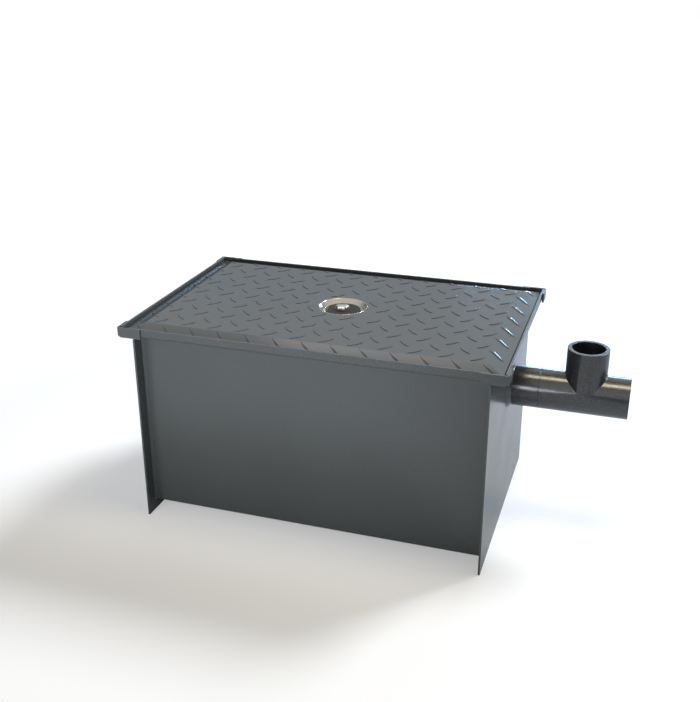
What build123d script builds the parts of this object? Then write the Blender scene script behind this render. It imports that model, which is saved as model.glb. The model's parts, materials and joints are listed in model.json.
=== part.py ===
"""Grease separator: a coated steel tank with a bolted chequer-plate lid.

Millimetres. The origin is on the floor at the middle of the tank, +Z up,
+X towards the inlet and -Y towards the front. The wastewater passes the flow
control tee, the inlet stub, the chamber behind the baffle, the tank, and leaves
under the outlet box. The model stands assembled, with the lid on its gasket.
"""
import os
from math import sqrt

from build123d import *

os.makedirs("parts", exist_ok=True)

# Sheet metal
sheet = 3.0
bend_inside = 2.5
bend_outside = bend_inside + sheet

# Tank: end plates that run down as skids, and the walls set back between them
tank_length = 555.0
skid_depth = 382.2
wall_setback = 24.4
floor_clearance = 17.3
rim_top = 330.8
rim_height = 12.8
end_rim_reach = 21.5
end_shelf_gap = 3.4
relief_drop = 6.0
relief_offset = 0.8
weld_leg = 4.3

# Angle clips that close the rim's corners
clip_front_arm = 39.5
clip_side_arm = 30.0
clip_height = 16.0
clip_bend = 3.0
clip_cut_width = 6.0
clip_cut_height = 4.0
clip_slot_height = 5.0
clip_slot_width = 21.0

# Pipe stubs and the flow control tee
pipe_outer = 63.5
stub_bore = 52.5
tee_bore = 50.8
pipe_height = 232.5
stub_length = 47.4
stub_weld_leg = 6.25
tee_length = 135.5
tee_branch_rise = 75.5

# Lid: a plate with a bevelled border over a flat gasket, and a pressed dish
lid_gap_end = 2.8
lid_gap_front = 1.2
lid_edge = 4.0
lid_rise = 7.0
lid_bevel = 24.5
lid_sheet = 4.0
gasket_width = 14.0
gasket_inset = 2.0
gasket_height = 3.0
dish_mouth = 80.0
dish_floor = 66.0
dish_depth = 9.1
dish_sheet = 2.5
dish_flange = 100.0
dish_slip = 0.3

# Hold-down bolt, its washers and the nut under the cross bar
bolt_diameter = 12.7
bolt_length = 75.0
bolt_head_flats = 19.05
bolt_head_height = 7.0
bolt_tip_chamfer = 1.2
bolt_clearance = 0.65
bolt_thread_clearance = 0.3
washer_diameter = 57.5
steel_washer_height = 1.6
rubber_washer_height = 2.0
nut_height = 10.0

# Cross bar and the two brackets that carry it
bar_width = 30.0
bar_height = 20.0
bar_edge_radius = 3.5
bar_end_gap = 1.0
bracket_width = 63.0
bracket_height = 41.5
bracket_corner = 14.0
bracket_depth = 16.0
bracket_drop = 51.5

# Inlet chamber: fixed sloped cover and a removable baffle between guides
cover_reach = 68.0
cover_low_drop = 28.0
cover_high_drop = 11.0
baffle_drop = 31.5
baffle_window_width = 220.0
baffle_window_height = 42.0
tab_radius = 34.0
tab_drop = 36.0
tab_hole = 14.0
tab_hole_reach = 22.6
guide_leg = 12.0
guide_drop = 48.0
guide_clearance = 0.6
baffle_end_gap = 1.0

# Outlet box with its cleanout collar and air relief nipple
box_reach = 59.0
box_width = 88.0
box_foot_gap = 39.7
box_top_reach = 67.0
box_top_width = 122.6
box_top_sheet = 5.0
box_top_drop = 38.0
box_weld_leg = 4.0
collar_reach = 35.3
collar_side = -16.5
collar_base = 52.0
collar_mouth = 41.4
collar_opening = 39.4
collar_height = 7.3
nipple_reach = 48.5
nipple_side = 32.5
nipple_base = 21.0
nipple_foot = 3.5
nipple_mouth = 11.8
nipple_opening = 8.2
nipple_height = 14.0

# Places that follow from the sizes above
half_length = tank_length / 2
inner_half_length = half_length - sheet
half_skid = skid_depth / 2
wall_outer_y = half_skid - wall_setback
wall_inner_y = wall_outer_y - sheet
floor_top = floor_clearance + sheet
end_shelf_depth = skid_depth - 2 * end_shelf_gap
shelf_top = rim_top - rim_height
relief_top = shelf_top - relief_drop
rim_half_length = half_length + end_rim_reach
lid_half_length = rim_half_length - sheet - lid_gap_end
lid_half_depth = half_skid - sheet - lid_gap_front
lid_bottom = shelf_top + gasket_height
lid_top = lid_bottom + lid_edge + lid_rise
dish_floor_z = lid_top - dish_depth
head_seat = dish_floor_z + steel_washer_height + rubber_washer_height
stub_end = half_length + stub_length
bracket_bottom = shelf_top - bracket_drop
bar_bottom = bracket_bottom + sheet
cover_low = shelf_top - cover_low_drop
cover_high = shelf_top - cover_high_drop
baffle_top = shelf_top - baffle_drop
tab_top = shelf_top - tab_drop
guide_top = shelf_top - guide_drop
box_top_height = shelf_top - box_top_drop
box_bottom = floor_top + box_foot_gap
guide_web_y = wall_inner_y - sheet


def folded_wall(reach, foot):
    """Section of a wall whose top is folded out to a shelf and up to a rim; x is outward."""
    shelf_under = shelf_top - sheet
    with BuildSketch() as section:
        with BuildLine():
            Polyline(
                (-sheet, foot),
                (-sheet, shelf_top),
                (reach - sheet, shelf_top),
                (reach - sheet, rim_top),
                (reach, rim_top),
                (reach, shelf_under),
                (0, shelf_under),
                (0, foot),
                close=True,
            )
        make_face()
        for corner in ((-sheet, shelf_top), (reach, shelf_under)):
            fillet(section.vertices().sort_by_distance(corner)[0], radius=bend_outside)
        for corner in ((reach - sheet, shelf_top), (0, shelf_under)):
            fillet(section.vertices().sort_by_distance(corner)[0], radius=bend_inside)
    return section.sketch


def finish(piece, name):
    """Label a piece and write it."""
    piece.part.label = name
    export_step(piece.part, f"parts/{name}.step")


def end_plate(side, name):
    """End wall and skid in one sheet, drilled for its pipe; side is +1 at the inlet."""
    outward = Plane(origin=(side * half_length, 0, 0), x_dir=(side, 0, 0), z_dir=(0, -side, 0))
    with BuildPart() as plate:
        with BuildSketch(outward):
            add(folded_wall(end_rim_reach, 0))
        extrude(amount=end_shelf_depth / 2, both=True)
        with BuildSketch(Plane.XY):
            with Locations((side * (half_length - sheet / 2), 0)):
                Rectangle(sheet, skid_depth)
        extrude(amount=relief_top)
        with BuildSketch(Plane.XY.offset(relief_top)):
            relief_width = sheet + relief_offset
            relief_x = side * (inner_half_length + relief_width / 2)
            with GridLocations(0, 2 * wall_outer_y + wall_setback, 1, 2):
                with Locations((relief_x, 0)):
                    Rectangle(relief_width, wall_setback)
        extrude(amount=shelf_top - relief_top, mode=Mode.SUBTRACT)
        with BuildSketch(Plane.YZ.offset(side * half_length)):
            with Locations((0, pipe_height)):
                Circle(stub_bore / 2)
        extrude(amount=-side * sheet, mode=Mode.SUBTRACT)
    finish(plate, name)
    return plate


def side_wall(side, name):
    """Front or back wall between the end plates; side is -1 at the front."""
    outward = Plane(origin=(0, side * wall_outer_y, 0), x_dir=(0, side, 0), z_dir=(side, 0, 0))
    with BuildPart() as wall:
        with BuildSketch(outward):
            add(folded_wall(wall_setback, floor_clearance))
        extrude(amount=inner_half_length, both=True)
    finish(wall, name)
    return wall


def rim_corner(side_x, side_y, slotted, name):
    """Angle clip lapped over the ends of two rims at one corner."""
    corner_x = rim_half_length + sheet
    corner_y = half_skid + sheet
    clip_bottom = rim_top - clip_height
    with BuildPart() as clip:
        with BuildSketch(Plane.XY.offset(clip_bottom)) as angle:
            with Locations((corner_x, corner_y)):
                Rectangle(clip_front_arm, clip_side_arm, align=(Align.MAX, Align.MAX))
            with Locations((rim_half_length, half_skid)):
                Rectangle(clip_front_arm, clip_side_arm, align=(Align.MAX, Align.MAX), mode=Mode.SUBTRACT)
            fillet(angle.vertices().sort_by_distance((corner_x, corner_y))[0], radius=clip_bend)
        extrude(amount=clip_height)
        with BuildSketch(Plane.XZ.offset(-corner_y)):
            with BuildLine():
                Polyline(
                    (corner_x, clip_bottom),
                    (corner_x, clip_bottom + clip_cut_height),
                    (corner_x - clip_cut_width, clip_bottom),
                    close=True,
                )
            make_face()
        extrude(amount=sheet, mode=Mode.SUBTRACT)
        if slotted:
            with BuildSketch(Plane.XZ.offset(-corner_y)):
                with Locations((inner_half_length, clip_bottom)):
                    Rectangle(clip_slot_width, clip_slot_height, align=(Align.MIN, Align.MIN))
            extrude(amount=sheet, mode=Mode.SUBTRACT)
        if side_x < 0:
            mirror(about=Plane.YZ, mode=Mode.REPLACE)
        if side_y < 0:
            mirror(about=Plane.XZ, mode=Mode.REPLACE)
    finish(clip, name)
    return clip


def bar_bracket(side, name):
    """Rounded ring on the inside of a wall that holds one end of the cross bar."""
    with BuildPart() as bracket:
        with BuildSketch(Plane.XZ.offset(-side * wall_inner_y)):
            with Locations((0, bracket_bottom + bracket_height / 2)):
                RectangleRounded(bracket_width, bracket_height, bracket_corner)
                RectangleRounded(
                    bracket_width - 2 * sheet,
                    bracket_height - 2 * sheet,
                    bracket_corner - sheet,
                    mode=Mode.SUBTRACT,
                )
        extrude(amount=side * bracket_depth)
    finish(bracket, name)
    return bracket


def pipe_stub(side, name):
    """Stub welded over the hole in an end plate, with the cone of its weld."""
    foot_radius = pipe_outer / 2 + stub_weld_leg
    with BuildPart() as stub:
        with BuildSketch(Plane.XZ) as half_section:
            with BuildLine():
                Polyline(
                    (half_length, pipe_height + stub_bore / 2),
                    (half_length, pipe_height + foot_radius),
                    (half_length + stub_weld_leg, pipe_height + pipe_outer / 2),
                    (stub_end, pipe_height + pipe_outer / 2),
                    (stub_end, pipe_height + stub_bore / 2),
                    close=True,
                )
            make_face()
        revolve(axis=Axis((0, 0, pipe_height), (1, 0, 0)))
        if side < 0:
            mirror(about=Plane.YZ, mode=Mode.REPLACE)
    finish(stub, name)
    return stub


# Tank shell
end_plate_inlet = end_plate(1, "end_plate_inlet")
end_plate_outlet = end_plate(-1, "end_plate_outlet")
front_wall = side_wall(-1, "front_wall")
back_wall = side_wall(1, "back_wall")

with BuildPart() as bottom_plate:
    with BuildSketch(Plane.XY.offset(floor_clearance)):
        Rectangle(2 * inner_half_length, 2 * wall_inner_y)
    extrude(amount=sheet)
finish(bottom_plate, "bottom_plate")

# Fillet welds in the four upright corners behind the skids
with BuildPart() as corner_welds:
    with BuildSketch(Plane.XY.offset(floor_clearance)):
        with BuildLine():
            Polyline(
                (inner_half_length, wall_outer_y),
                (inner_half_length - weld_leg, wall_outer_y),
                (inner_half_length, wall_outer_y + weld_leg),
                close=True,
            )
        make_face()
        mirror(about=Plane.YZ)
        mirror(about=Plane.XZ)
    extrude(amount=relief_top - floor_clearance)
finish(corner_welds, "corner_welds")

# Corner clips of the rim; the back ones are slotted below
rim_corner(1, -1, False, "rim_corner_front_inlet")
rim_corner(-1, -1, False, "rim_corner_front_outlet")
rim_corner(1, 1, True, "rim_corner_back_inlet")
rim_corner(-1, 1, True, "rim_corner_back_outlet")

# Pipe stubs
inlet_stub = pipe_stub(1, "inlet_stub")
outlet_stub = pipe_stub(-1, "outlet_stub")

# Cross bar in its brackets, with the nut welded under its hole
bar_bracket(-1, "bar_bracket_front")
bar_bracket(1, "bar_bracket_back")

with BuildPart() as cross_bar:
    with BuildSketch(Plane.XZ):
        with Locations((0, bar_bottom)):
            Rectangle(bar_width, bar_height, align=(Align.CENTER, Align.MIN))
    extrude(amount=wall_inner_y - bar_end_gap, both=True)
    fillet(cross_bar.edges().filter_by(Axis.Y), radius=bar_edge_radius)
    with Locations((0, 0, bar_bottom + bar_height)):
        Hole(radius=bolt_diameter / 2 + bolt_clearance)
finish(cross_bar, "cross_bar")

with BuildPart() as bar_nut:
    with BuildSketch(Plane.XY.offset(bar_bottom)):
        RegularPolygon(radius=bolt_head_flats / sqrt(3), side_count=6)
        Circle(bolt_diameter / 2 + bolt_thread_clearance, mode=Mode.SUBTRACT)
    extrude(amount=-nut_height)
finish(bar_nut, "bar_nut")

# Inlet chamber: sloped cover from the end plate down to the baffle
cover_edge = inner_half_length - cover_reach
with BuildPart() as inlet_cover:
    with BuildSketch(Plane.XZ):
        with BuildLine():
            Polyline(
                (cover_edge, cover_low - sheet),
                (cover_edge, cover_low),
                (inner_half_length, cover_high),
                (inner_half_length, cover_high - sheet),
                close=True,
            )
        make_face()
    extrude(amount=wall_inner_y, both=True)
finish(inlet_cover, "inlet_cover")

# Removable baffle with a flow window at the foot and a lifting tab
with BuildPart() as inlet_baffle:
    with BuildSketch(Plane.YZ.offset(cover_edge)):
        with Locations((0, floor_top)):
            baffle_width = 2 * (guide_web_y - baffle_end_gap)
            Rectangle(baffle_width, baffle_top - floor_top, align=(Align.CENTER, Align.MIN))
            Rectangle(
                baffle_window_width,
                baffle_window_height,
                align=(Align.CENTER, Align.MIN),
                mode=Mode.SUBTRACT,
            )
    extrude(amount=-sheet)
    with BuildSketch(Plane.XY.offset(tab_top)):
        with Locations((cover_edge - sheet, 0)):
            Circle(tab_radius)
            Rectangle(tab_radius, 2 * tab_radius, align=(Align.MIN, Align.CENTER), mode=Mode.SUBTRACT)
        with Locations((cover_edge - sheet - tab_hole_reach, 0)):
            Circle(tab_hole / 2, mode=Mode.SUBTRACT)
    extrude(amount=-sheet)
finish(inlet_baffle, "inlet_baffle")

# Two channels that guide the baffle's edges
with BuildPart() as baffle_guides:
    with BuildSketch(Plane.XY.offset(floor_top)):
        guide_slot = sheet + 2 * guide_clearance
        with Locations((cover_edge - sheet / 2, wall_inner_y)):
            Rectangle(guide_slot + 2 * sheet, sheet + guide_leg, align=(Align.CENTER, Align.MAX))
        with Locations((cover_edge - sheet / 2, guide_web_y)):
            Rectangle(guide_slot, guide_leg, align=(Align.CENTER, Align.MAX), mode=Mode.SUBTRACT)
        mirror(about=Plane.XZ)
    extrude(amount=guide_top - floor_top)
finish(baffle_guides, "baffle_guides")

# Outlet box: three walls on the end plate, open at the foot
box_wall_top = box_top_height - box_top_sheet
with BuildPart() as outlet_box:
    with BuildSketch(Plane.XY.offset(box_bottom)):
        with Locations((-inner_half_length, 0)):
            Rectangle(box_reach, box_width, align=(Align.MIN, Align.CENTER))
            Rectangle(
                box_reach - sheet,
                box_width - 2 * sheet,
                align=(Align.MIN, Align.CENTER),
                mode=Mode.SUBTRACT,
            )
    extrude(amount=box_wall_top - box_bottom)
finish(outlet_box, "outlet_box")

collar_x = -inner_half_length + collar_reach
nipple_x = -inner_half_length + nipple_reach
with BuildPart() as outlet_box_top:
    with BuildSketch(Plane.XY.offset(box_wall_top)):
        with Locations((-inner_half_length, 0)):
            Rectangle(box_top_reach, box_top_width, align=(Align.MIN, Align.CENTER))
        with Locations((collar_x, collar_side)):
            Circle(collar_opening / 2, mode=Mode.SUBTRACT)
        with Locations((nipple_x, nipple_side)):
            Circle(nipple_opening / 2, mode=Mode.SUBTRACT)
    extrude(amount=box_top_sheet)
finish(outlet_box_top, "outlet_box_top")

with BuildPart() as outlet_box_weld:
    with BuildSketch(Plane.XZ):
        with BuildLine():
            Polyline(
                (-inner_half_length, box_top_height),
                (-inner_half_length + box_weld_leg, box_top_height),
                (-inner_half_length, box_top_height + box_weld_leg),
                close=True,
            )
        make_face()
    extrude(amount=box_top_width / 2, both=True)
finish(outlet_box_weld, "outlet_box_weld")

with BuildPart() as cleanout_collar:
    with BuildSketch(Plane.XZ.offset(-collar_side)):
        with BuildLine():
            Polyline(
                (collar_x + collar_opening / 2, box_top_height),
                (collar_x + collar_base / 2, box_top_height),
                (collar_x + collar_mouth / 2, box_top_height + collar_height),
                (collar_x + collar_opening / 2, box_top_height + collar_height),
                close=True,
            )
        make_face()
    revolve(axis=Axis((collar_x, collar_side, 0), (0, 0, 1)))
finish(cleanout_collar, "cleanout_collar")

with BuildPart() as air_relief_nipple:
    with BuildSketch(Plane.XZ.offset(-nipple_side)):
        with BuildLine():
            Polyline(
                (nipple_x + nipple_opening / 2, box_top_height),
                (nipple_x + nipple_base / 2, box_top_height),
                (nipple_x + nipple_base / 2, box_top_height + nipple_foot),
                (nipple_x + nipple_mouth / 2, box_top_height + nipple_height),
                (nipple_x + nipple_opening / 2, box_top_height + nipple_height),
                close=True,
            )
        make_face()
    revolve(axis=Axis((nipple_x, nipple_side, 0), (0, 0, 1)))
finish(air_relief_nipple, "air_relief_nipple")

# Lid plate: upright edge, bevelled border, raised middle, hollow below
lid_crown_x = 2 * (lid_half_length - lid_bevel)
lid_crown_y = 2 * (lid_half_depth - lid_bevel)
lid_under = lid_top - lid_sheet
with BuildPart() as lid_plate:
    with BuildSketch(Plane.XY.offset(lid_bottom)):
        Rectangle(2 * lid_half_length, 2 * lid_half_depth)
    extrude(amount=lid_edge)
    with BuildSketch(Plane.XY.offset(lid_bottom + lid_edge)):
        Rectangle(2 * lid_half_length, 2 * lid_half_depth)
    with BuildSketch(Plane.XY.offset(lid_top)):
        Rectangle(lid_crown_x, lid_crown_y)
    loft()
    with BuildSketch(Plane.XY.offset(lid_bottom)):
        Rectangle(lid_crown_x, lid_crown_y)
    extrude(amount=lid_under - lid_bottom, mode=Mode.SUBTRACT)
    with Locations((0, 0, lid_top)):
        Hole(radius=dish_mouth / 2 + dish_slip)
finish(lid_plate, "lid_plate")

# Gasket stuck under the lid's border
with BuildPart() as lid_gasket:
    with BuildSketch(Plane.XY.offset(shelf_top)):
        Rectangle(2 * (lid_half_length - gasket_inset), 2 * (lid_half_depth - gasket_inset))
        offset(amount=-gasket_width, kind=Kind.INTERSECTION, mode=Mode.SUBTRACT)
    extrude(amount=gasket_height)
finish(lid_gasket, "lid_gasket")

# Pressed dish that sinks the bolt's head below the lid
mouth_radius = dish_mouth / 2
floor_radius = dish_floor / 2
bolt_hole_radius = bolt_diameter / 2 + bolt_clearance
with BuildPart() as lid_dish:
    with BuildSketch(Plane.XZ):
        with BuildLine():
            Polyline(
                (bolt_hole_radius, dish_floor_z),
                (floor_radius, dish_floor_z),
                (mouth_radius - dish_sheet / 2, lid_top),
                (mouth_radius, lid_top),
                (mouth_radius, lid_under),
                (dish_flange / 2, lid_under),
                (dish_flange / 2, lid_under - dish_sheet),
                (mouth_radius - dish_sheet / 2, lid_under - dish_sheet),
                (floor_radius + dish_sheet / 2, dish_floor_z - dish_sheet),
                (bolt_hole_radius, dish_floor_z - dish_sheet),
                close=True,
            )
        make_face()
    revolve(axis=Axis.Z)
finish(lid_dish, "lid_dish")

# Washers in the dish, steel below and rubber under the bolt's head
with BuildPart() as steel_washer:
    with BuildSketch(Plane.XY.offset(dish_floor_z)):
        Circle(washer_diameter / 2)
        Circle(bolt_hole_radius, mode=Mode.SUBTRACT)
    extrude(amount=steel_washer_height)
finish(steel_washer, "steel_washer")

with BuildPart() as rubber_washer:
    with BuildSketch(Plane.XY.offset(dish_floor_z + steel_washer_height)):
        Circle(washer_diameter / 2)
        Circle(bolt_hole_radius, mode=Mode.SUBTRACT)
    extrude(amount=rubber_washer_height)
finish(rubber_washer, "rubber_washer")

# Hold-down bolt
with BuildPart() as lid_bolt:
    with BuildSketch(Plane.XY.offset(head_seat)):
        Circle(bolt_diameter / 2)
    extrude(amount=-bolt_length)
    chamfer(lid_bolt.edges().sort_by(Axis.Z)[0], length=bolt_tip_chamfer)
    with BuildSketch(Plane.XY.offset(head_seat)):
        RegularPolygon(radius=bolt_head_flats / sqrt(3), side_count=6)
    extrude(amount=bolt_head_height)
finish(lid_bolt, "lid_bolt")

# Flow control tee butted to the inlet stub
with BuildPart() as flow_tee:
    with BuildSketch(Plane.YZ.offset(stub_end)):
        with Locations((0, pipe_height)):
            Circle(pipe_outer / 2)
    extrude(amount=tee_length)
    with BuildSketch(Plane.XY.offset(pipe_height)):
        with Locations((stub_end + tee_length / 2, 0)):
            Circle(pipe_outer / 2)
    extrude(amount=tee_branch_rise)
    with BuildSketch(Plane.YZ.offset(stub_end)):
        with Locations((0, pipe_height)):
            Circle(tee_bore / 2)
    extrude(amount=tee_length, mode=Mode.SUBTRACT)
    with BuildSketch(Plane.XY.offset(pipe_height)):
        with Locations((stub_end + tee_length / 2, 0)):
            Circle(tee_bore / 2)
    extrude(amount=tee_branch_rise, mode=Mode.SUBTRACT)
finish(flow_tee, "flow_tee")
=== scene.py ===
"""Grease separator, dressed and lit for its picture.

Every sheet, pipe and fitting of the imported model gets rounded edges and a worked
finish. The lid's raised tread, the bolt and the weld beads are modelled here.
Metres throughout, with +Z up and +X towards the inlet.
"""
import json
import math
from collections import namedtuple

import bmesh
import bpy
from bpy.props import FloatProperty, FloatVectorProperty, IntProperty, PointerProperty
from mathutils import Euler, Matrix, Vector


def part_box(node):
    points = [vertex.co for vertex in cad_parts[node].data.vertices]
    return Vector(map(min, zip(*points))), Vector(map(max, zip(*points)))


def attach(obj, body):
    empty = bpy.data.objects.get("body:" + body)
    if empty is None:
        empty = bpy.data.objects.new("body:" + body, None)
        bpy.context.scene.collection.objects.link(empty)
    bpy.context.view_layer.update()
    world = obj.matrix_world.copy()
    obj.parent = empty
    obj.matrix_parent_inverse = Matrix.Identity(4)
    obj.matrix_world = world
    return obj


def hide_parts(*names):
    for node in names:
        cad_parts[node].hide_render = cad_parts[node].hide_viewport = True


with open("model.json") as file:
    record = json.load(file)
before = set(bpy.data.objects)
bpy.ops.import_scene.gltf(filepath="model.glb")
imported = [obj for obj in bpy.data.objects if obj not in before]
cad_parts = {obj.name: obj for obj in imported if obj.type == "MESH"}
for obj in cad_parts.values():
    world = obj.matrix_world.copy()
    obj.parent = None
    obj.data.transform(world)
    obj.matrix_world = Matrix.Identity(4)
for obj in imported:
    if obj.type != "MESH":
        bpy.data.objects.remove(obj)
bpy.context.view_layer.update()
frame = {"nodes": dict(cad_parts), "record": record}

bl_info = {
    "name": "Grease Separator",
    "version": (1, 0, 0),
    "blender": (4, 5, 0),
    "location": "View3D > Sidebar > Separator",
    "description": "Dresses a grease separator with its finishes, tread, welds and studio",
    "category": "Object",
}

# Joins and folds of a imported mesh: how near two points are one, and how flat is one face
SAME_PLACE = 2e-6
SAME_PLANE = math.radians(0.6)
# Edges sharper than this many degrees are rounded: on most pieces, on the turned
# fittings, and on the lid, whose border slopes gently
CREASE = 28.0
FITTING_CREASE = 18.0
LID_CREASE = 10.0
ROUND_SEGMENTS = 3
BRACKET_SEGMENTS = 8

# The tread's two crossed sets of lugs: columns, rows and turn
LUG_SETS = ((12, 7, math.pi / 4), (13, 8, -math.pi / 4))
# Half a lug's section from its crest outward: place on the grid, share of the width and
# share of the height
LUG_SECTION = ((0.0, 0.0, 1.0), (0.5, 0.82, 0.92), (1.0, 1.0, 0.0))
# How a lug narrows and falls off along its length, how much is left at its tip, and how
# far its foot is sunk, as shares
LUG_NARROWING = 0.8
LUG_FALL = 0.2
LUG_TIP = 0.05
LUG_FOOT = 0.3

# The thread's ridge: steps in a turn, half its width as a share of the pitch, how deep it
# sits in the core, and how far above the bolt's tip it starts
RIDGE_STEPS = 24
RIDGE_SHARE = 0.42
RIDGE_SINK = 0.0001
RIDGE_START = 0.0022
# The chamfer at the bolt's tip, inward and upward, and the cone where the thread ends
TIP_CHAMFER = (0.0006, 0.001)
NECK_RISE = 0.0008

# The floor's glow grows to plain white between these distances from the origin
GLOW_START, GLOW_END = 0.75, 2.2

# What a mirror sees of the sky, by the height it looks to
SKY_STOPS = (
    (0.00, (0.02, 0.03, 0.05)),
    (0.11, (0.06, 0.08, 0.12)),
    (0.20, (0.38, 0.43, 0.49)),
    (0.30, (0.52, 0.57, 0.63)),
    (0.38, (0.80, 0.82, 0.84)),
    (0.58, (0.95, 0.91, 0.85)),
    (0.78, (1.00, 0.95, 0.87)),
    (0.95, (0.25, 0.24, 0.22)),
)

# The area lamps: where each hangs, what it faces, its width and height, its spread in
# degrees and its tint; its power is a value of the studio
AreaLamp = namedtuple("AreaLamp", "name place target size spread tint")
AREA_LAMPS = (
    AreaLamp("blue", (0.24, 1.05, 0.43), (-0.25, 0, 0.32), (0.6, 0.12), 180, (0.42, 0.68, 1.0)),
    AreaLamp("side", (1.5, 0.75, 0.34), (0, 0, 0.3), (0.9, 0.62), 180, (0.55, 0.76, 1.0)),
    AreaLamp("warm", (0.45, -0.1, 1.8), (0.4, 0, 0.2), (0.8, 0.38), 180, (1.0, 0.84, 0.56)),
    AreaLamp("back", (-0.45, 1.2, 2.1), (0.1, -0.18, 0.4), (0.9, 0.5), 180, (1.0, 0.98, 0.94)),
    AreaLamp(
        "front", (-0.14, -0.62, 0.36), (-0.14, -0.17, 0.25), (0.8, 0.15), 75, (1.0, 0.98, 0.95)
    ),
)


def millimetres(name, description, default):
    """A length property that is written in millimetres and kept in metres."""
    return FloatProperty(
        name=name, description=description, default=default / 1000, unit="LENGTH", min=0
    )


def power(name, description, default):
    """The power of an area lamp."""
    return FloatProperty(name=name, description=description, default=default, unit="POWER")


def colour(name, description, default):
    """A colour property."""
    return FloatVectorProperty(
        name=name, description=description, default=default, subtype="COLOR", size=3, min=0, max=1
    )


class SeparatorSizes(bpy.types.PropertyGroup):
    """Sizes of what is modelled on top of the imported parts."""

    edge_round: millimetres("Edge round", "Radius on the cut edges of sheet and bar", 0.5)
    bend_round: millimetres("Bend round", "Radius that softens the end plates' edges", 1.3)
    small_round: millimetres("Small round", "Radius on the edges of small fittings", 0.25)
    lug_step_x: millimetres("Lug step along", "Step of the tread's lugs along the lid", 45.4)
    lug_step_y: millimetres("Lug step across", "Step of the tread's lugs across the lid", 48.9)
    lug_shift: millimetres("Lug shift", "How far the tread's middle lies before the lid's", 2.8)
    lug_length: millimetres("Lug length", "Length of one raised lug", 26.0)
    edge_lug_length: millimetres("Edge lug length", "Length of a lug that runs over the bevel", 35.0)
    lug_width: millimetres("Lug width", "Width of one lug at its middle", 5.8)
    lug_height: millimetres("Lug height", "Height of the tread above the plate", 0.9)
    lid_bevel: millimetres("Lid bevel", "Width of the sloped border of the lid", 24.5)
    lid_edge: millimetres("Lid edge", "Height of the upright edge of the lid", 4.0)
    dish_mouth: millimetres("Dish mouth", "Diameter of the hole for the dish", 80.6)
    weld_leg: millimetres("Weld leg", "Leg of the weld round each bracket", 2.6)
    bracket_corner: millimetres("Bracket corner", "Outer corner radius of the brackets", 14.0)
    bolt_diameter: millimetres("Bolt diameter", "Outside of the bolt's thread", 12.7)
    bolt_head: millimetres("Bolt head", "Height of the bolt's head", 7.0)
    thread_pitch: millimetres("Thread pitch", "Rise of the thread in one turn", 1.95)
    thread_depth: millimetres("Thread depth", "Depth of the thread", 0.7)
    thread_length: millimetres("Thread length", "Length of shank that is threaded", 46.0)
    head_chamfer: millimetres("Head chamfer", "Chamfer round the top of the bolt's head", 0.9)
    round_steps: IntProperty(name="Round steps", description="Facets round the bolt", default=48, min=12)


class SeparatorColours(bpy.types.PropertyGroup):
    """Base colours of the finishes."""

    tank: colour("Tank", "Slate coating of the tank", (0.060, 0.069, 0.074))
    tank_light: colour("Tank light", "Paler patches in the tank's coating", (0.068, 0.078, 0.084))
    lid: colour("Lid", "Coating of the lid", (0.064, 0.075, 0.086))
    lid_dark: colour("Lid dark", "Dirt that settles beside the tread", (0.045, 0.052, 0.059))
    pipe: colour("Pipe", "Dark coating of stub and tee", (0.078, 0.083, 0.089))
    dish: colour("Dish", "Bare pressed steel of the dish", (0.50, 0.475, 0.43))
    bright: colour("Bright", "Zinc-plated steel of bolt and washer", (0.62, 0.63, 0.65))
    rubber: colour("Rubber", "Black rubber", (0.008, 0.008, 0.009))
    floor: colour("Floor", "Studio floor", (0.645, 0.66, 0.69))


class SeparatorStudio(bpy.types.PropertyGroup):
    """Camera and lamps."""

    camera_place: FloatVectorProperty(
        name="Camera place",
        description="Where the camera stands",
        default=(0.4668, -1.4095, 0.8721),
        subtype="TRANSLATION",
        unit="LENGTH",
    )
    camera_turn: FloatVectorProperty(
        name="Camera turn",
        description="How the camera is turned",
        default=(math.radians(67.367), 0.0, math.radians(17.882)),
        subtype="EULER",
        unit="ROTATION",
    )
    camera_lens: FloatProperty(
        name="Camera lens", description="Focal length on a 36 mm sensor", default=49.96, unit="CAMERA"
    )
    sun_strength: FloatProperty(
        name="Sun", description="Strength of the key light", default=2.8, min=0
    )
    blue_power: power("Blue lamp", "Power of the cool lamp behind", 5.5)
    side_power: power("Side lamp", "Power of the cool lamp at the right", 4.5)
    warm_power: power("Warm lamp", "Power of the warm lamp overhead", 11.0)
    back_power: power("Back lamp", "Power of the lamp high behind", 2.2)
    front_power: power("Front lamp", "Power of the lamp before the front", 1.0)
    sky_strength: FloatProperty(
        name="Sky", description="Strength of the even light all round", default=0.12, min=0
    )
    floor_glow: FloatProperty(
        name="Floor glow", description="White added to the floor for the camera", default=0.34, min=0
    )


def settings():
    """The three groups of properties on the scene."""
    scene = bpy.context.scene
    return scene.separator_sizes, scene.separator_colours, scene.separator_studio


# Finishes


def times(factor, tone):
    """A colour made lighter or darker."""
    return tuple(factor * part for part in tone)


def new_finish(name, rough, metal):
    """A material with its shader, and object coordinates for its textures."""
    material = bpy.data.materials.new(name)
    material.use_nodes = True
    tree = material.node_tree
    shader = tree.nodes["Principled BSDF"]
    shader.inputs["Roughness"].default_value = rough
    shader.inputs["Metallic"].default_value = metal
    place = tree.nodes.new("ShaderNodeTexCoord").outputs["Object"]
    return material, tree, shader, place


def noise(tree, place, scale, detail=4.0, stretch=None):
    """Noise texture on the piece, stretched along an axis if asked."""
    if stretch:
        mapping = tree.nodes.new("ShaderNodeMapping")
        mapping.inputs["Scale"].default_value = stretch
        tree.links.new(place, mapping.inputs["Vector"])
        place = mapping.outputs["Vector"]
    texture = tree.nodes.new("ShaderNodeTexNoise")
    texture.inputs["Scale"].default_value = scale
    texture.inputs["Detail"].default_value = detail
    tree.links.new(place, texture.inputs["Vector"])
    return texture.outputs["Fac"]


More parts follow.
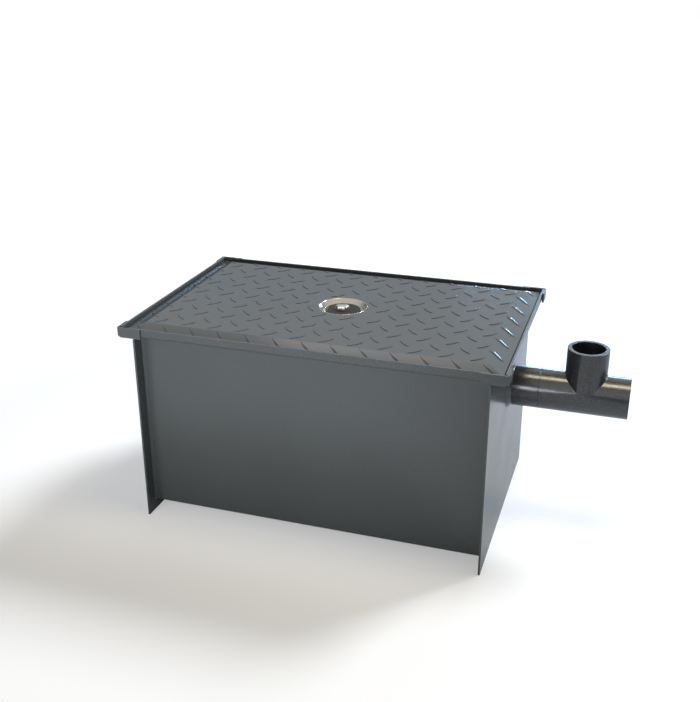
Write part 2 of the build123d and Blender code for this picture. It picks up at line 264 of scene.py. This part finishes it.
def between(tree, factor, low, high, start=0.35, end=0.65):
    """Value that runs from low to high as the factor goes from start to end."""
    scale = tree.nodes.new("ShaderNodeMapRange")
    scale.inputs["From Min"].default_value = start
    scale.inputs["From Max"].default_value = end
    scale.inputs["To Min"].default_value = low
    scale.inputs["To Max"].default_value = high
    tree.links.new(factor, scale.inputs["Value"])
    return scale.outputs["Result"]


def mix_colours(tree, factor, low, high):
    """Colour between two colours or sockets."""
    mix = tree.nodes.new("ShaderNodeMix")
    mix.data_type = "RGBA"
    tree.links.new(factor, mix.inputs["Factor"])
    for socket, value in ((mix.inputs[6], low), (mix.inputs[7], high)):
        if isinstance(value, bpy.types.NodeSocket):
            tree.links.new(value, socket)
        else:
            socket.default_value = (*value, 1)
    return mix.outputs[2]


def bump(tree, shader, height, distance, strength=0.5):
    """Small relief in the shading normal."""
    relief = tree.nodes.new("ShaderNodeBump")
    relief.inputs["Strength"].default_value = strength
    relief.inputs["Distance"].default_value = distance
    tree.links.new(height, relief.inputs["Height"])
    tree.links.new(relief.outputs["Normal"], shader.inputs["Normal"])


def rubbed_edges(tree, place, base, rubbed):
    """Base colour with the rubbed colour on its rounded edges, broken up by noise."""
    mark = tree.nodes.new("ShaderNodeAttribute")
    mark.attribute_name = "worn"
    patchy = tree.nodes.new("ShaderNodeMath")
    patchy.operation = "MULTIPLY"
    tree.links.new(mark.outputs["Fac"], patchy.inputs[0])
    tree.links.new(between(tree, noise(tree, place, 38.0, 6.0), 0.1, 0.75), patchy.inputs[1])
    return mix_colours(tree, patchy.outputs[0], base, rubbed)


def coated_steel(name, dark, light, rough, metal, grain=0.25, grain_scale=720.0):
    """Sprayed coating: cloudy colour, faint runs, fine specks, grain and rubbed edges."""
    material, tree, shader, place = new_finish(name, rough, metal)
    cloud = between(tree, noise(tree, place, 5.0, 3.0), 0.0, 1.0, 0.25, 0.75)
    speck = between(tree, noise(tree, place, grain_scale, 1.0), 0.0, grain, 0.48, 0.70)
    run = between(tree, noise(tree, place, 26.0, 6.0, (1.0, 1.0, 0.22)), 0.0, 0.10, 0.52, 0.85)
    base = mix_colours(tree, cloud, dark, light)
    base = mix_colours(tree, run, base, times(0.75, dark))
    base = mix_colours(tree, speck, base, times(2.0, light))
    base = rubbed_edges(tree, place, base, times(1.6, light))
    tree.links.new(base, shader.inputs["Base Color"])
    rub = noise(tree, place, 9.0, 3.0)
    gloss = between(tree, rub, rough - 0.03, rough + 0.02, 0.25, 0.75)
    tree.links.new(gloss, shader.inputs["Roughness"])
    bump(tree, shader, noise(tree, place, 650.0, 2.0), 0.00008, 0.55)
    return material


def tread_coating(name, dark, light, rough):
    """The lid's coating, with faint dirt between the lugs and rubbed edges."""
    material, tree, shader, place = new_finish(name, rough, 0.0)
    cloud = between(tree, noise(tree, place, 6.0, 3.0), 0.0, 1.0, 0.25, 0.75)
    dirt = between(tree, noise(tree, place, 45.0, 6.0), 0.0, 0.35, 0.52, 0.85)
    base = mix_colours(tree, cloud, light, times(0.92, light))
    base = mix_colours(tree, dirt, base, dark)
    base = rubbed_edges(tree, place, base, times(1.3, light))
    tree.links.new(base, shader.inputs["Base Color"])
    rub = noise(tree, place, 12.0, 4.0)
    gloss = between(tree, rub, rough - 0.02, rough + 0.04, 0.25, 0.75)
    tree.links.new(gloss, shader.inputs["Roughness"])
    bump(tree, shader, noise(tree, place, 900.0, 2.0), 0.00010, 0.45)
    return material


def bare_steel(name, base_colour, rough, grain, relief=0.00002):
    """Plain or plated steel with fine scratches and a cloudy surface."""
    material, tree, shader, place = new_finish(name, rough, 1.0)
    cloud = between(tree, noise(tree, place, 40.0, 4.0), 0.0, 1.0, 0.25, 0.75)
    base = mix_colours(tree, cloud, base_colour, times(0.86, base_colour))
    tree.links.new(base, shader.inputs["Base Color"])
    scratch = noise(tree, place, 500.0, 3.0, grain)
    tree.links.new(between(tree, scratch, rough - 0.04, rough + 0.08), shader.inputs["Roughness"])
    bump(tree, shader, scratch, relief, 0.4)
    return material


def black_rubber(name, base_colour):
    """Moulded rubber with a pale bloom."""
    material, tree, shader, place = new_finish(name, 0.55, 0.0)
    shader.inputs["Specular IOR Level"].default_value = 0.3
    bloom = between(tree, noise(tree, place, 120.0, 6.0), 0.0, 0.6, 0.5, 0.8)
    base = mix_colours(tree, bloom, base_colour, times(2.0, base_colour))
    tree.links.new(base, shader.inputs["Base Color"])
    bump(tree, shader, noise(tree, place, 900.0, 3.0), 0.00008, 0.5)
    return material


def finishes():
    """All finishes by their own names, made once."""
    colours = settings()[1]
    if "slate_coating" not in bpy.data.materials:
        coated_steel("slate_coating", colours.tank, colours.tank_light, 0.25, 0.0)
        pipe = colours.pipe
        coated_steel("dark_coating", pipe, times(1.1, pipe), 0.25, 0.7, 0.55, 620.0)
        tread_coating("plate_coating", colours.lid_dark, colours.lid, 0.15)
        bare_steel("pressed_steel", colours.dish, 0.20, (1.0, 1.0, 1.0), 0.000004)
        bare_steel("plated_steel", colours.bright, 0.15, (1.0, 1.0, 6.0), 0.000006)
        # The threaded shank is the bolt's own plated steel darkened to a third: painted shade that dims
        # what the thread mirrors
        bare_steel("thread_steel", times(0.32, colours.bright), 0.18, (1.0, 1.0, 6.0))
        black_rubber("black_rubber", colours.rubber)
    return bpy.data.materials


# Shapes


def place_piece(name, shape, body, finish, angle=34.0, replaces=()):
    """Make an object of a bmesh, with its finish, on its body."""
    mesh = bpy.data.meshes.new(name)
    shape.to_mesh(mesh)
    shape.free()
    mesh.shade_smooth()
    mesh.set_sharp_from_angle(angle=math.radians(angle))
    piece = bpy.data.objects.new(name, mesh)
    bpy.context.scene.collection.objects.link(piece)
    mesh.materials.append(finishes()[finish])
    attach(piece, body)
    if replaces:
        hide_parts(*replaces)
    return piece


def body_of_node(node):
    """Name of the moving body that holds a node."""
    bodies = frame["record"]["behaviour"]["bodies"]
    return next(body for body, nodes in bodies.items() if node in nodes)


def dress(node, finish, radius, crease=CREASE):
    """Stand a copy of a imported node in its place, and round its edges past the crease."""
    shape = bmesh.new()
    shape.from_mesh(frame["nodes"][node].data)
    worn = shape.faces.layers.float.new("worn")
    bmesh.ops.remove_doubles(shape, verts=shape.verts, dist=SAME_PLACE)
    bmesh.ops.dissolve_limit(
        shape,
        angle_limit=SAME_PLANE,
        use_dissolve_boundaries=False,
        verts=shape.verts,
        edges=shape.edges,
        delimit=set(),
    )
    sharp = math.radians(crease)
    corners = [
        edge for edge in shape.edges if edge.is_manifold and edge.calc_face_angle() > sharp
    ]
    rounded = bmesh.ops.bevel(
        shape,
        geom=corners,
        offset=radius,
        offset_type="OFFSET",
        segments=ROUND_SEGMENTS,
        profile=0.5,
        affect="EDGES",
        clamp_overlap=True,
        material=-1,
    )
    for face in rounded["faces"]:
        face[worn] = 1.0
    body = body_of_node(node)
    piece = place_piece(f"{node}_dressed", shape, body, finish, replaces=(node,))
    weighted = piece.modifiers.new("weighted normals", "WEIGHTED_NORMAL")
    weighted.keep_sharp = True


def dress_all(nodes, finish, radius):
    """Dress several nodes alike."""
    for node in nodes:
        dress(node, finish, radius)


def screw_ridge(shape, core, crest, pitch, low, high, steps):
    """Wind a V-shaped ridge round the Z axis from low to high."""
    half = pitch * RIDGE_SHARE
    points = ((core, low - half), (crest, low), (core, low + half))
    verts = [shape.verts.new((radius, 0, height)) for radius, height in points]
    edges = [shape.edges.new((verts[0], verts[1])), shape.edges.new((verts[1], verts[2]))]
    turns = int((high - low) / pitch)
    bmesh.ops.spin(
        shape,
        geom=verts + edges,
        cent=(0, 0, 0),
        axis=(0, 0, 1),
        dvec=(0, 0, pitch / steps),
        angle=math.tau * turns,
        steps=steps * turns,
        use_merge=False,
        use_duplicate=False,
    )


def rounded_loop(shape, width, height, corner, centre, along_y):
    """Edges of an upright rounded rectangle at one depth."""
    made = bmesh.ops.create_grid(shape, x_segments=1, y_segments=1, size=0.5)
    verts = made["verts"]
    upright = Matrix.Rotation(math.pi / 2, 3, "X")
    bmesh.ops.scale(shape, vec=(width, height, 1), verts=verts)
    bmesh.ops.rotate(shape, cent=(0, 0, 0), matrix=upright, verts=verts)
    bmesh.ops.translate(shape, vec=(centre.x, along_y, centre.z), verts=verts)
    bmesh.ops.bevel(
        shape,
        geom=verts,
        offset=corner,
        offset_type="OFFSET",
        segments=BRACKET_SEGMENTS,
        profile=0.5,
        affect="VERTICES",
        material=-1,
    )
    face = next(
        face
        for face in shape.faces
        if len(face.verts) > BRACKET_SEGMENTS
        and all(abs(vert.co.y - along_y) < 1e-7 for vert in face.verts)
    )
    edges = list(face.edges)
    bmesh.ops.delete(shape, geom=[face], context="FACES_ONLY")
    return edges


# Pieces


class SEPARATOR_OT_tank(bpy.types.Operator):
    """Dress the folded walls, skids, bottom and corner clips of the tank"""

    bl_idname = "separator.tank"
    bl_label = "Tank Shell"

    def execute(self, context):
        sizes = settings()[0]
        ends = ("end_plate_inlet", "end_plate_outlet")
        dress_all(ends, "slate_coating", sizes.bend_round)
        walls = ("front_wall", "back_wall", "bottom_plate")
        dress_all(walls, "slate_coating", sizes.edge_round)
        clips = [node for node in frame["nodes"] if node.startswith("rim_corner")]
        dress_all(clips, "slate_coating", sizes.edge_round)
        dress("corner_welds", "slate_coating", sizes.small_round)
        return {"FINISHED"}


class SEPARATOR_OT_pipes(bpy.types.Operator):
    """Dress the two pipe stubs with the cones of their welds"""

    bl_idname = "separator.pipes"
    bl_label = "Pipe Stubs"

    def execute(self, context):
        radius = settings()[0].edge_round
        dress_all(("inlet_stub", "outlet_stub"), "dark_coating", radius)
        return {"FINISHED"}


class SEPARATOR_OT_tee(bpy.types.Operator):
    """Dress the flow control tee"""

    bl_idname = "separator.tee"
    bl_label = "Flow Control Tee"

    def execute(self, context):
        dress("flow_tee", "dark_coating", settings()[0].edge_round)
        return {"FINISHED"}


class SEPARATOR_OT_cross_bar(bpy.types.Operator):
    """Dress the cross bar, its nut and brackets, and weld the brackets to the walls"""

    bl_idname = "separator.cross_bar"
    bl_label = "Cross Bar"

    def execute(self, context):
        sizes = settings()[0]
        dress("cross_bar", "slate_coating", sizes.edge_round)
        dress("bar_nut", "plated_steel", sizes.small_round)
        for side, node in ((-1, "bar_bracket_front"), (1, "bar_bracket_back")):
            dress(node, "slate_coating", sizes.edge_round)
            low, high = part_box(node)
            centre = (low + high) / 2
            wall = high.y if side > 0 else low.y
            width, height, leg = high.x - low.x, high.z - low.z, sizes.weld_leg
            corner = sizes.bracket_corner
            weld = bmesh.new()
            wide, tall = width + 2 * leg, height + 2 * leg
            outer = rounded_loop(weld, wide, tall, corner + leg, centre, wall)
            inner = rounded_loop(weld, width, height, corner, centre, wall - side * 1e-5)
            toe = rounded_loop(weld, width, height, corner, centre, wall - side * leg)
            for pair in ((outer, toe), (toe, inner), (inner, outer)):
                bmesh.ops.bridge_loops(weld, edges=pair[0] + pair[1])
            bmesh.ops.recalc_face_normals(weld, faces=weld.faces)
            place_piece(f"weld_{node}", weld, "tank", "slate_coating")
        return {"FINISHED"}


class SEPARATOR_OT_inlet_chamber(bpy.types.Operator):
    """Dress the sloped cover, the baffle with its lifting tab and the guides"""

    bl_idname = "separator.inlet_chamber"
    bl_label = "Inlet Chamber"

    def execute(self, context):
        radius = settings()[0].edge_round
        nodes = ("inlet_cover", "inlet_baffle", "baffle_guides")
        dress_all(nodes, "slate_coating", radius)
        return {"FINISHED"}


class SEPARATOR_OT_outlet_box(bpy.types.Operator):
    """Dress the outlet box, its top, the cleanout collar and the air relief nipple"""

    bl_idname = "separator.outlet_box"
    bl_label = "Outlet Box"

    def execute(self, context):
        radius = settings()[0].edge_round
        nodes = ("outlet_box", "outlet_box_top", "outlet_box_weld")
        dress_all(nodes, "slate_coating", radius)
        for node in ("cleanout_collar", "air_relief_nipple"):
            dress(node, "slate_coating", radius, crease=FITTING_CREASE)
        return {"FINISHED"}


class SEPARATOR_OT_lid(bpy.types.Operator):
    """Dress the lid plate, its gasket and its pressed dish"""

    bl_idname = "separator.lid"
    bl_label = "Lid"

    def execute(self, context):
        sizes = settings()[0]
        dress("lid_plate", "plate_coating", sizes.edge_round, crease=LID_CREASE)
        dress("lid_gasket", "black_rubber", sizes.small_round)
        dress("lid_dish", "pressed_steel", sizes.edge_round)
        return {"FINISHED"}


class SEPARATOR_OT_tread(bpy.types.Operator):
    """Raise the tread's crossed lugs over the lid and down its bevel"""

    bl_idname = "separator.tread"
    bl_label = "Lid Tread"

    def execute(self, context):
        sizes = settings()[0]
        low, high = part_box("lid_plate")
        self.crown_x = high.x - sizes.lid_bevel
        self.crown_y = high.y - sizes.lid_bevel
        self.rise = high.z - low.z - sizes.lid_edge
        self.top = high.z
        self.bevel = sizes.lid_bevel
        tread = bmesh.new()
        for columns, rows, turn in LUG_SETS:
            for column in range(columns):
                for row in range(rows):
                    x = (column - (columns - 1) / 2) * sizes.lug_step_x
                    y = (row - (rows - 1) / 2) * sizes.lug_step_y - sizes.lug_shift
                    self.add_lug(tread, sizes, x, y, turn)
        bmesh.ops.recalc_face_normals(tread, faces=tread.faces)
        place_piece("lid_tread", tread, "lid", "plate_coating", angle=50.0)
        return {"FINISHED"}

    def surface(self, x, y):
        """Height of the lid's plain surface."""
        beyond = max(abs(x) - self.crown_x, abs(y) - self.crown_y, 0.0)
        return self.top - self.rise * beyond / self.bevel

    def add_lug(self, tread, sizes, x, y, turn):
        """One flat-topped lens with steep sides, and its foot sunk in the plate."""
        cosine, sine = math.cos(turn), math.sin(turn)
        outside = abs(x) > self.crown_x or abs(y) > self.crown_y
        half = (sizes.edge_lug_length if outside else sizes.lug_length) / 2
        reach = min(
            math.hypot(x + cosine * half * share, y + sine * half * share)
            for share in (-1, -0.5, 0, 0.5, 1)
        )
        if reach < sizes.dish_mouth / 2 + sizes.lug_width / 4:
            return
        made = bmesh.ops.create_grid(tread, x_segments=8, y_segments=4, size=1.0)
        verts = made["verts"]
        faces = dict.fromkeys(face for vert in verts for face in vert.link_faces)
        for vert in verts:
            along = vert.co.x
            _, share, level = min(LUG_SECTION, key=lambda row: abs(row[0] - abs(vert.co.y)))
            aside = math.copysign(share, vert.co.y)
            lens = max(1 - along * along, LUG_TIP) ** LUG_NARROWING
            local_x = along * half
            local_y = aside * lens * sizes.lug_width / 2
            vert.co.x = x + local_x * cosine - local_y * sine
            vert.co.y = y + local_x * sine + local_y * cosine
            height = sizes.lug_height * level * lens**LUG_FALL
            vert.co.z = self.surface(vert.co.x, vert.co.y) + height
        rims = dict.fromkeys(edge for face in faces for edge in face.edges if edge.is_boundary)
        skirt = bmesh.ops.extrude_edge_only(tread, edges=list(rims))["geom"]
        foot = [part for part in skirt if isinstance(part, bmesh.types.BMVert)]
        bmesh.ops.translate(tread, vec=(0, 0, -LUG_FOOT * sizes.lug_height), verts=foot)
        ring = [part for part in skirt if isinstance(part, bmesh.types.BMEdge)]
        ring = [edge for edge in ring if edge.is_boundary]
        bmesh.ops.holes_fill(tread, edges=ring, sides=0)


class SEPARATOR_OT_washers(bpy.types.Operator):
    """Dress the steel washer and the rubber washer above it"""

    bl_idname = "separator.washers"
    bl_label = "Washers"

    def execute(self, context):
        radius = settings()[0].small_round
        dress("steel_washer", "plated_steel", radius)
        dress("rubber_washer", "black_rubber", radius)
        return {"FINISHED"}


class SEPARATOR_OT_bolt(bpy.types.Operator):
    """Turn the hold-down bolt with its chamfered head, plain neck and thread"""

    bl_idname = "separator.bolt"
    bl_label = "Hold-down Bolt"

    def execute(self, context):
        sizes = settings()[0]
        low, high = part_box("lid_bolt")
        seat = high.z - sizes.bolt_head
        radius = sizes.bolt_diameter / 2
        core = radius - sizes.thread_depth
        steps = sizes.round_steps
        bolt = bmesh.new()
        thread_top = low.z + sizes.thread_length
        profile = (
            (0, low.z),
            (core - TIP_CHAMFER[0], low.z),
            (core, low.z + TIP_CHAMFER[1]),
            (core, thread_top),
            (radius, thread_top + NECK_RISE),
            (radius, seat),
            (0, seat),
        )
        verts = [bolt.verts.new((x, 0, z)) for x, z in profile]
        edges = [bolt.edges.new(pair) for pair in zip(verts, verts[1:])]
        bmesh.ops.spin(
            bolt,
            geom=verts + edges,
            cent=(0, 0, 0),
            axis=(0, 0, 1),
            angle=math.tau,
            steps=steps,
            use_merge=True,
        )
        bmesh.ops.remove_doubles(bolt, verts=bolt.verts, dist=1e-7)
        foot = low.z + RIDGE_START
        screw_ridge(
            bolt, core - RIDGE_SINK, radius, sizes.thread_pitch, foot, thread_top, RIDGE_STEPS
        )
        bmesh.ops.recalc_face_normals(bolt, faces=bolt.faces)
        stands_for = ("lid_bolt",)
        place_piece(
            "bolt_shank", bolt, "bolt", "thread_steel", replaces=stands_for
        )
        bolt = bmesh.new()
        corner = (high.x - low.x) / 2
        head = bmesh.ops.create_cone(
            bolt,
            cap_ends=True,
            segments=6,
            radius1=corner,
            radius2=corner,
            depth=sizes.bolt_head,
        )["verts"]
        turn = Matrix.Rotation(math.pi / 6, 3, "Z")
        bmesh.ops.rotate(bolt, cent=(0, 0, 0), matrix=turn, verts=head)
        bmesh.ops.translate(bolt, vec=(0, 0, seat + sizes.bolt_head / 2), verts=head)
        top = [
            edge for edge in bolt.edges if all(vert.co.z > high.z - 1e-6 for vert in edge.verts)
        ]
        bmesh.ops.bevel(
            bolt,
            geom=top,
            offset=sizes.head_chamfer,
            offset_type="OFFSET",
            segments=ROUND_SEGMENTS,
            profile=0.5,
            affect="EDGES",
            clamp_overlap=True,
            material=-1,
        )
        bmesh.ops.recalc_face_normals(bolt, faces=bolt.faces)
        place_piece("bolt_head", bolt, "bolt", "plated_steel", replaces=stands_for)
        return {"FINISHED"}


class SEPARATOR_OT_studio(bpy.types.Operator):
    """Set up the pale floor, the lamps and the camera"""

    bl_idname = "separator.studio"
    bl_label = "Studio"

    def execute(self, context):
        colours, studio = settings()[1:]
        self.lay_floor(colours, studio)
        self.light_sky(studio)
        sun = self.hang_lamp("key_sun", "SUN", (0.95, 1.25, 1.7), (0, 0, 0.25))
        sun.energy = studio.sun_strength
        sun.color = (0.97, 0.985, 1.0)
        sun.angle = math.radians(17)
        for plan in AREA_LAMPS:
            lamp = self.hang_lamp(f"{plan.name}_lamp", "AREA", plan.place, plan.target)
            lamp.shape = "RECTANGLE"
            lamp.energy = getattr(studio, f"{plan.name}_power")
            lamp.color = plan.tint
            lamp.size, lamp.size_y = plan.size
            lamp.spread = math.radians(plan.spread)
        camera = bpy.data.objects.new("camera", bpy.data.cameras.new("camera"))
        context.scene.collection.objects.link(camera)
        camera.location = studio.camera_place
        camera.rotation_euler = Euler(studio.camera_turn)
        camera.data.lens = studio.camera_lens
        camera.data.sensor_width = 36
        context.scene.camera = camera
        context.scene.view_settings.view_transform = "Standard"
        return {"FINISHED"}

    def lay_floor(self, colours, studio):
        """Pale floor that stays white to the camera where nothing shades it."""
        shape = bmesh.new()
        bmesh.ops.create_grid(shape, x_segments=1, y_segments=1, size=12)
        mesh = bpy.data.meshes.new("studio_floor")
        shape.to_mesh(mesh)
        shape.free()
        floor = bpy.data.objects.new("studio_floor", mesh)
        bpy.context.scene.collection.objects.link(floor)
        material = bpy.data.materials.new("studio_floor")
        material.use_nodes = True
        tree = material.node_tree
        tree.nodes.clear()
        matt = tree.nodes.new("ShaderNodeBsdfDiffuse")
        matt.inputs["Color"].default_value = (*colours.floor, 1)
        glow = tree.nodes.new("ShaderNodeEmission")
        rays = tree.nodes.new("ShaderNodeLightPath")
        seen = tree.nodes.new("ShaderNodeMath")
        seen.operation = "MULTIPLY"
        tree.links.new(rays.outputs["Is Camera Ray"], seen.inputs[0])
        away = tree.nodes.new("ShaderNodeVectorMath")
        away.operation = "LENGTH"
        place = tree.nodes.new("ShaderNodeTexCoord").outputs["Object"]
        tree.links.new(place, away.inputs[0])
        spread = between(
            tree, away.outputs["Value"], studio.floor_glow, 1.0, GLOW_START, GLOW_END
        )
        tree.links.new(spread, seen.inputs[1])
        tree.links.new(seen.outputs[0], glow.inputs["Strength"])
        total = tree.nodes.new("ShaderNodeAddShader")
        tree.links.new(matt.outputs[0], total.inputs[0])
        tree.links.new(glow.outputs[0], total.inputs[1])
        end = tree.nodes.new("ShaderNodeOutputMaterial")
        tree.links.new(total.outputs[0], end.inputs["Surface"])
        mesh.materials.append(material)

    def light_sky(self, studio):
        """Even light all round, plain white to the camera, and graded in reflections."""
        world = bpy.data.worlds.new("studio_sky")
        bpy.context.scene.world = world
        world.use_nodes = True
        tree = world.node_tree
        tree.nodes.clear()
        rays = tree.nodes.new("ShaderNodeLightPath")
        soft = tree.nodes.new("ShaderNodeBackground")
        soft.inputs["Color"].default_value = (0.92, 0.96, 1.0, 1)
        soft.inputs["Strength"].default_value = studio.sky_strength
        white = tree.nodes.new("ShaderNodeBackground")
        white.inputs["Color"].default_value = (1, 1, 1, 1)
        mirrored = tree.nodes.new("ShaderNodeBackground")
        place = tree.nodes.new("ShaderNodeTexCoord").outputs["Generated"]
        split = tree.nodes.new("ShaderNodeSeparateXYZ")
        tree.links.new(place, split.inputs["Vector"])
        grade = tree.nodes.new("ShaderNodeValToRGB")
        ramp = grade.color_ramp
        while len(ramp.elements) < len(SKY_STOPS):
            ramp.elements.new(1.0)
        for element, (height, tone) in zip(ramp.elements, SKY_STOPS):
            element.position = height
            element.color = (*tone, 1)
        tree.links.new(split.outputs["Z"], grade.inputs["Fac"])
        tree.links.new(grade.outputs["Color"], mirrored.inputs["Color"])
        graded = tree.nodes.new("ShaderNodeMixShader")
        tree.links.new(rays.outputs["Is Glossy Ray"], graded.inputs["Fac"])
        tree.links.new(soft.outputs[0], graded.inputs[1])
        tree.links.new(mirrored.outputs[0], graded.inputs[2])
        direct = tree.nodes.new("ShaderNodeMath")
        direct.operation = "ADD"
        direct.use_clamp = True
        tree.links.new(rays.outputs["Is Camera Ray"], direct.inputs[0])
        tree.links.new(rays.outputs["Is Transmission Ray"], direct.inputs[1])
        mix = tree.nodes.new("ShaderNodeMixShader")
        tree.links.new(direct.outputs[0], mix.inputs["Fac"])
        tree.links.new(graded.outputs[0], mix.inputs[1])
        tree.links.new(white.outputs[0], mix.inputs[2])
        end = tree.nodes.new("ShaderNodeOutputWorld")
        tree.links.new(mix.outputs[0], end.inputs["Surface"])

    def hang_lamp(self, name, kind, place, target):
        """Lamp that faces its target and stays out of the picture."""
        lamp = bpy.data.lights.new(name, kind)
        hung = bpy.data.objects.new(name, lamp)
        bpy.context.scene.collection.objects.link(hung)
        hung.location = place
        aim = Vector(target) - Vector(place)
        hung.rotation_euler = aim.to_track_quat("-Z", "Y").to_euler()
        hung.visible_camera = False
        return lamp


class SEPARATOR_PT_panel(bpy.types.Panel):
    """Buttons and values in the sidebar"""

    bl_idname = "SEPARATOR_PT_panel"
    bl_label = "Grease Separator"
    bl_space_type = "VIEW_3D"
    bl_region_type = "UI"
    bl_category = "Separator"

    def draw(self, context):
        for step in steps:
            self.layout.operator(step.bl_idname)
        for group in settings():
            box = self.layout.box()
            for key in group.bl_rna.properties.keys():
                if key not in ("name", "rna_type"):
                    box.prop(group, key)


groups = (SeparatorSizes, SeparatorColours, SeparatorStudio)
steps = (
    SEPARATOR_OT_tank,
    SEPARATOR_OT_pipes,
    SEPARATOR_OT_tee,
    SEPARATOR_OT_cross_bar,
    SEPARATOR_OT_inlet_chamber,
    SEPARATOR_OT_outlet_box,
    SEPARATOR_OT_lid,
    SEPARATOR_OT_tread,
    SEPARATOR_OT_washers,
    SEPARATOR_OT_bolt,
    SEPARATOR_OT_studio,
)


def register():
    """Register the classes and hang their values on the scene."""
    for item in (*groups, *steps, SEPARATOR_PT_panel):
        bpy.utils.register_class(item)
    bpy.types.Scene.separator_sizes = PointerProperty(type=SeparatorSizes)
    bpy.types.Scene.separator_colours = PointerProperty(type=SeparatorColours)
    bpy.types.Scene.separator_studio = PointerProperty(type=SeparatorStudio)


def unregister():
    """Take everything back."""
    for name in ("separator_sizes", "separator_colours", "separator_studio"):
        delattr(bpy.types.Scene, name)
    for item in reversed((*groups, *steps, SEPARATOR_PT_panel)):
        bpy.utils.unregister_class(item)


def main():
    """Make every piece in order."""
    register()
    for step in steps:
        family, action = step.bl_idname.split(".")
        getattr(getattr(bpy.ops, family), action)()


if __name__ == "__main__":
    main()
